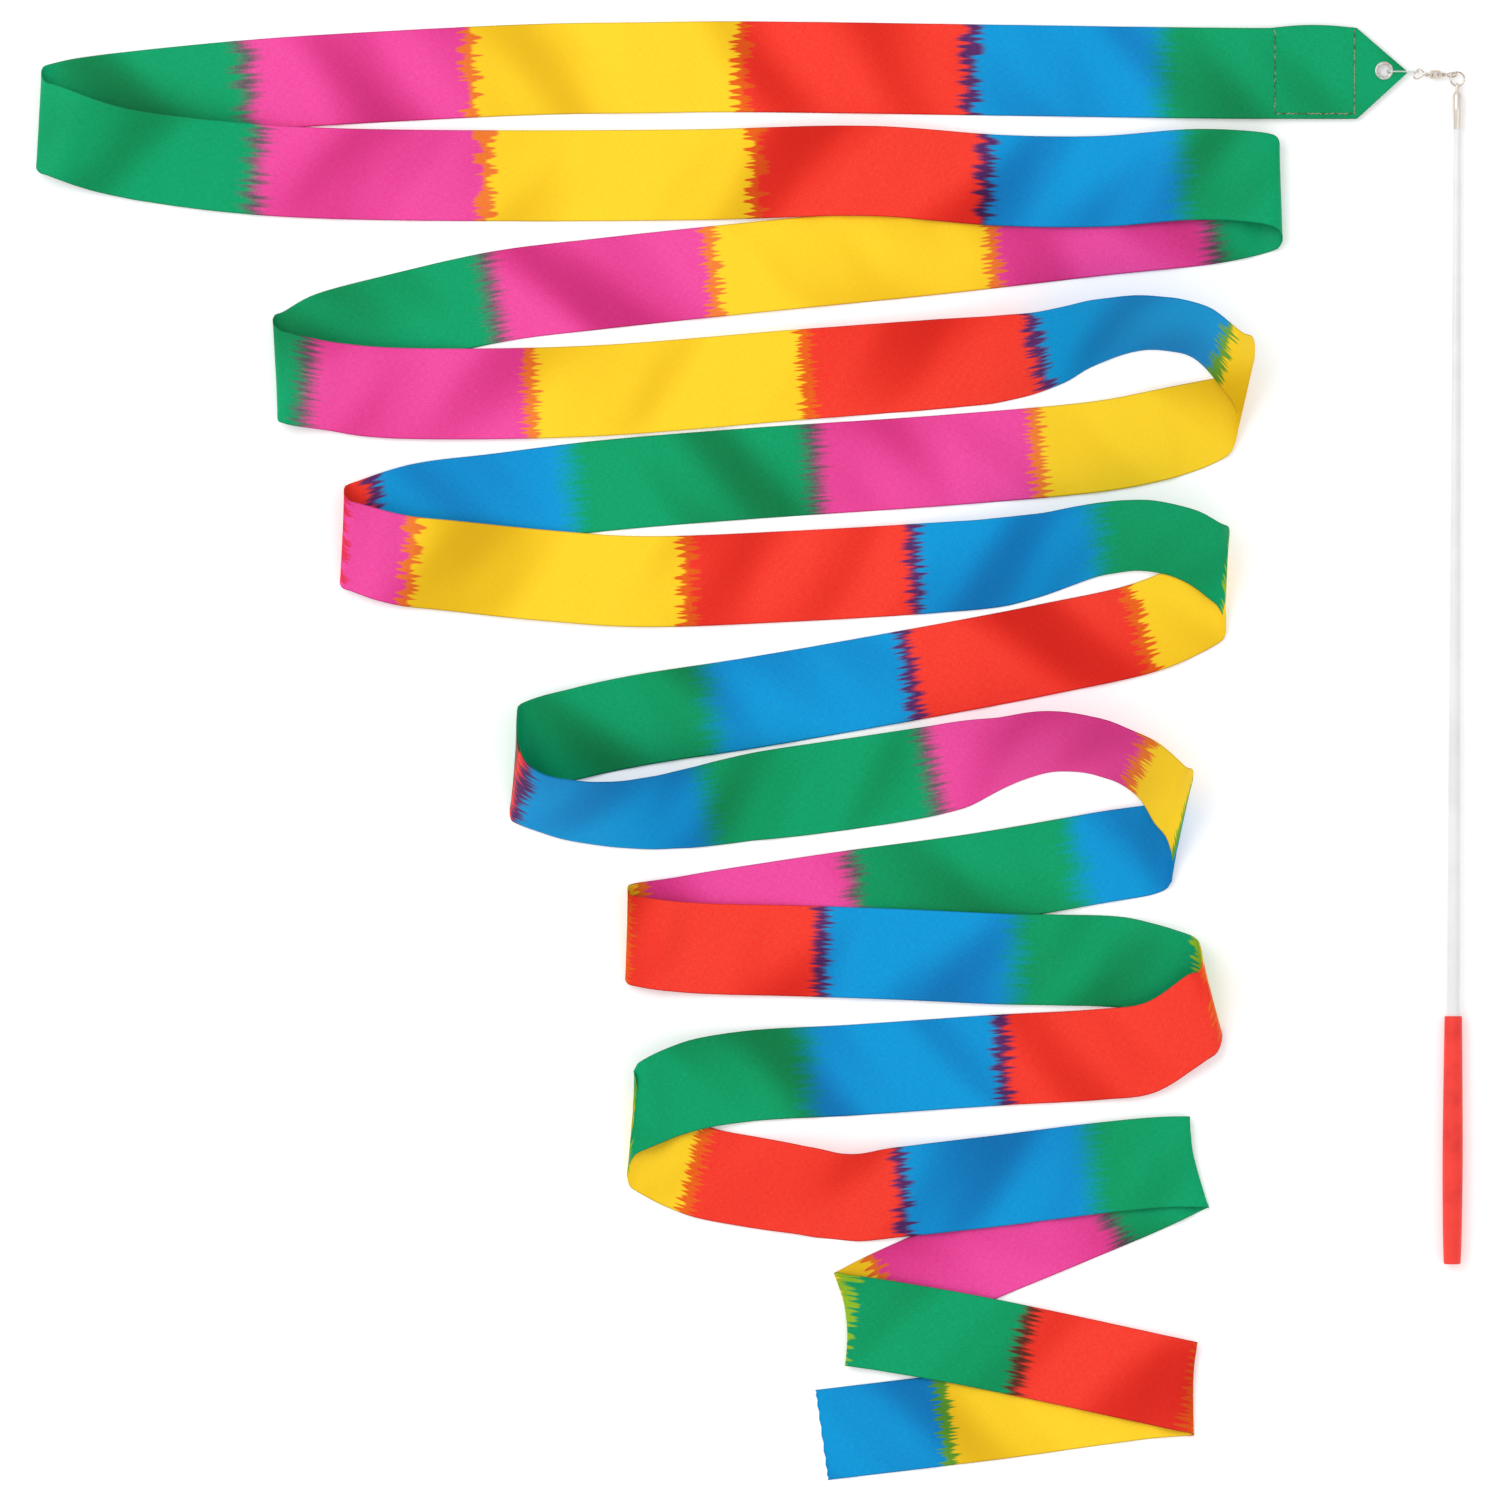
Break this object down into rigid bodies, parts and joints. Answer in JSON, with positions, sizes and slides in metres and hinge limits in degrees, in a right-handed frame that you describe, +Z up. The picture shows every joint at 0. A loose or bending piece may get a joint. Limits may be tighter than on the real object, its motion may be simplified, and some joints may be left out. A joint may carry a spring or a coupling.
{
  "type": "rhythmic gymnastics ribbon wand",
  "caption": "Long satin ribbon in dyed colour bands, lying in a loose zigzag and clipped by a snap swivel to the tip of a slim white stick with a rubber grip.",
  "frame": {"origin": "on the floor under the middle of the whole object as it lies", "axes": "+Y along the stick from its grip to its tip, +X from the ribbon to the stick, +Z up from the floor"},
  "size_m": [0.6286, 0.6418, 0.0391],
  "materials": {
    "white_enamel": "smooth white lacquer on a glass-fibre rod",
    "red_rubber": "matt red rubber",
    "champagne_aluminium": "turned and anodised pale champagne",
    "nickel_wire": "bright nickel-plated wire",
    "nickel_barrel": "nickel-plated, tumbled",
    "clear_nylon": "clear monofilament line",
    "dyed_satin": "satin dyed in bands of green, blue, red, yellow and pink with ragged edges",
    "green_satin": "satin, dark green",
    "eyelet_nickel": "pressed and nickel-plated",
    "thread": "grey-brown sewing thread"
  },
  "bodies": {
    "wand": {"shaft": "white_enamel", "grip_sleeve": "red_rubber", "ferrule": "champagne_aluminium"},
    "ring": {"tip_ring": "nickel_wire"},
    "eye": {"swivel_eye": "nickel_wire", "eye_wrap": "nickel_wire"},
    "barrel": {"swivel_barrel": "nickel_barrel"},
    "snap": {"snap_hook": "nickel_wire", "snap_wrap": "nickel_wire"},
    "line": {"nylon_loop": "clear_nylon", "line_knot": "clear_nylon"},
    "ribbon_end": {"ribbon": "dyed_satin", "tab_backing": "green_satin", "eyelet": "eyelet_nickel", "eyelet_washer": "eyelet_nickel", "seam_left": "thread", "seam_right": "thread", "seam_bottom": "thread"}
  },
  "joints": [
    {"name": "ring_swing", "type": "hinge", "parent": "wand", "child": "ring", "pos_m": [0.3108, 0.29295, 0.0024], "axis": [1, 0, 0], "range_deg": [-100, 100]},
    {"name": "swivel_swing", "type": "hinge", "parent": "ring", "child": "eye", "pos_m": [0.3108, 0.296, 0.0024], "axis": [0, 0, 1], "range_deg": [-100, 3]},
    {"name": "barrel_spin", "type": "hinge", "parent": "eye", "child": "barrel", "pos_m": [0.30108, 0.29792, 0.0024], "axis": [1, 0, 0], "continuous": true},
    {"name": "snap_spin", "type": "hinge", "parent": "barrel", "child": "snap", "pos_m": [0.30108, 0.29792, 0.0024], "axis": [1, 0, 0], "continuous": true},
    {"name": "line_swing", "type": "hinge", "parent": "snap", "child": "line", "pos_m": [0.29278, 0.29932, 0.0024], "axis": [0, 1, 0], "range_deg": [-60, 60]},
    {"name": "ribbon_swing", "type": "hinge", "parent": "line", "child": "ribbon_end", "pos_m": [0.2785, 0.29972, 0.0024], "axis": [0, 0, 1], "range_deg": [-60, 3]}
  ]
}
